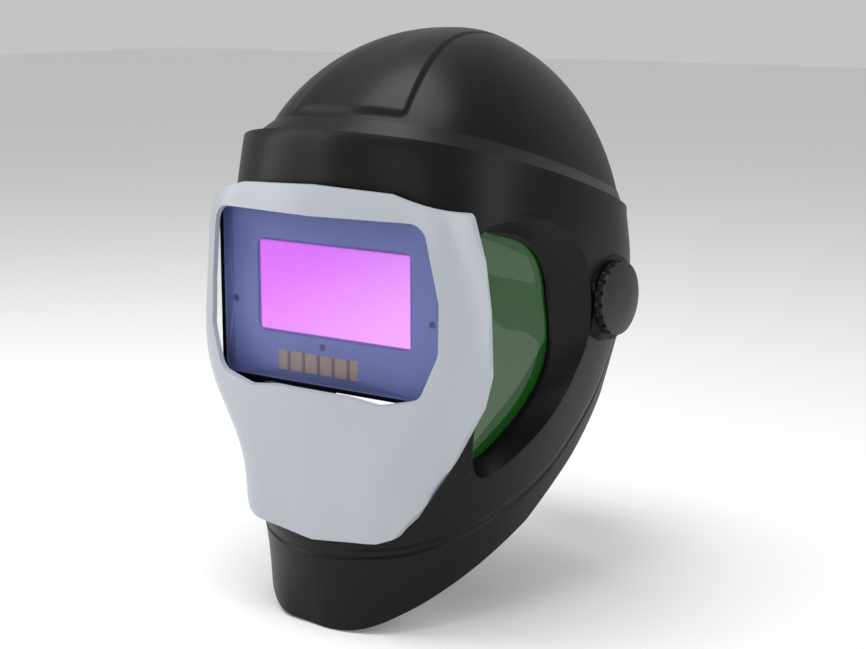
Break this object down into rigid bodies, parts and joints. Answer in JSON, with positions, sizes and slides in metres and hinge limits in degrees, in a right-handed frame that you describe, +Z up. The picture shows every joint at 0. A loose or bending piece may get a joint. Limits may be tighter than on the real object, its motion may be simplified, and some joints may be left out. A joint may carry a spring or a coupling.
{
  "type": "welding helmet",
  "caption": "Flip-up auto-darkening welding helmet with a wide view filter, green side windows and a ratchet head harness.",
  "frame": {"origin": "midpoint of the tilt axis, between the two pivot knobs", "axes": "+X the wearer's left, along the tilt axis; -Y forward through the filter window; +Z up, with the filter face vertical"},
  "size_m": [0.2276, 0.2667, 0.3241],
  "materials": {
    "shell_black": "satin moulded black nylon",
    "cover_silver": "satin silver-grey lacquer on moulded plastic",
    "clear_plate": "clear polycarbonate with a hard coat",
    "cassette_grey": "blue-grey moulded plastic",
    "filter_glass": "magenta interference-coated filter glass",
    "solar_cell": "tan amorphous solar cell strips",
    "sensor_dark": "dark sensor lens",
    "case_black": "fine-textured moulded plastic",
    "button_grey": "soft button",
    "green_pane": "green shade 5 polycarbonate",
    "friction_nylon": "natural nylon",
    "knob_black": "moulded with a fine grip",
    "harness_green": "light green moulded nylon",
    "harness_black": "moulded flexible nylon",
    "bolt_steel": "zinc plated",
    "sweat_fabric": "terry-faced foam"
  },
  "bodies": {
    "harness": {"front_band": "harness_green", "rear_band_left": "harness_black", "rear_band_right": "harness_black", "side_arm_left": "harness_green", "side_arm_right": "harness_green", "crown_strap_front": "harness_black", "crown_strap_rear": "harness_black", "strap_pins": "harness_black", "sweatband": "sweat_fabric", "rear_pad": "sweat_fabric", "ratchet_housing": "harness_black"},
    "ratchet": {"ratchet_knob": "knob_black", "ratchet_spindle": "bolt_steel"},
    "pivot_slide": {"pivot_carriage_left": "harness_green", "pivot_carriage_right": "harness_green", "pivot_bolt_left": "bolt_steel", "pivot_bolt_right": "bolt_steel", "tilt_stop_left": "harness_black", "tilt_stop_right": "harness_black", "friction_washer_left": "friction_nylon", "friction_washer_right": "friction_nylon"},
    "helmet": {"helmet_shell": "shell_black", "front_cover": "cover_silver", "outer_protection_plate": "clear_plate", "filter_housing": "cassette_grey", "filter_frame": "shell_black", "filter_lens": "filter_glass", "solar_panel": "solar_cell", "arc_sensors": "sensor_dark", "control_case": "case_black", "inner_protection_plate": "clear_plate", "side_window_left": "green_pane", "side_window_right": "green_pane", "window_frame_left": "shell_black", "window_frame_right": "shell_black", "window_surround_left": "shell_black", "window_surround_right": "shell_black", "pivot_bush_left": "friction_nylon", "pivot_bush_right": "friction_nylon"},
    "knob_left": {"pivot_knob_left": "knob_black"},
    "knob_right": {"pivot_knob_right": "knob_black"},
    "shade_button": {"shade_button": "button_grey"},
    "sensitivity_button": {"sensitivity_button": "button_grey"},
    "delay_button": {"delay_button": "button_grey"},
    "battery_left": {"battery_tray_left": "case_black"},
    "battery_right": {"battery_tray_right": "case_black"}
  },
  "joints": [
    {"name": "helmet_tilt", "type": "hinge", "parent": "pivot_slide", "child": "helmet", "pos_m": [0, 0, 0], "axis": [-1, 0, 0], "range_deg": [0, 70]},
    {"name": "pivot_adjust", "type": "slide", "parent": "harness", "child": "pivot_slide", "axis": [0, -1, 0], "range_m": [-0.006, 0.006]},
    {"name": "ratchet_turn", "type": "hinge", "parent": "harness", "child": "ratchet", "pos_m": [0, 0.11178, -0.04183], "axis": [0, 0.8616, -0.5075], "continuous": true},
    {"name": "knob_left_turn", "type": "hinge", "parent": "pivot_slide", "child": "knob_left", "pos_m": [0.11, 0, 0], "axis": [1, 0, 0], "range_deg": [-180, 180]},
    {"name": "knob_right_turn", "type": "hinge", "parent": "pivot_slide", "child": "knob_right", "pos_m": [-0.11, 0, 0], "axis": [-1, 0, 0], "range_deg": [-180, 180]},
    {"name": "shade_press", "type": "slide", "parent": "helmet", "child": "shade_button", "axis": [0, -1, 0], "range_m": [0, 0.0008], "stiffness_N_per_m": 400},
    {"name": "sensitivity_press", "type": "slide", "parent": "helmet", "child": "sensitivity_button", "axis": [0, -1, 0], "range_m": [0, 0.0008], "stiffness_N_per_m": 400},
    {"name": "delay_press", "type": "slide", "parent": "helmet", "child": "delay_button", "axis": [0, -1, 0], "range_m": [0, 0.0008], "stiffness_N_per_m": 400},
    {"name": "battery_left_slide", "type": "slide", "parent": "helmet", "child": "battery_left", "axis": [1, 0, 0], "range_m": [0, 0.016]},
    {"name": "battery_right_slide", "type": "slide", "parent": "helmet", "child": "battery_right", "axis": [-1, 0, 0], "range_m": [0, 0.016]}
  ]
}
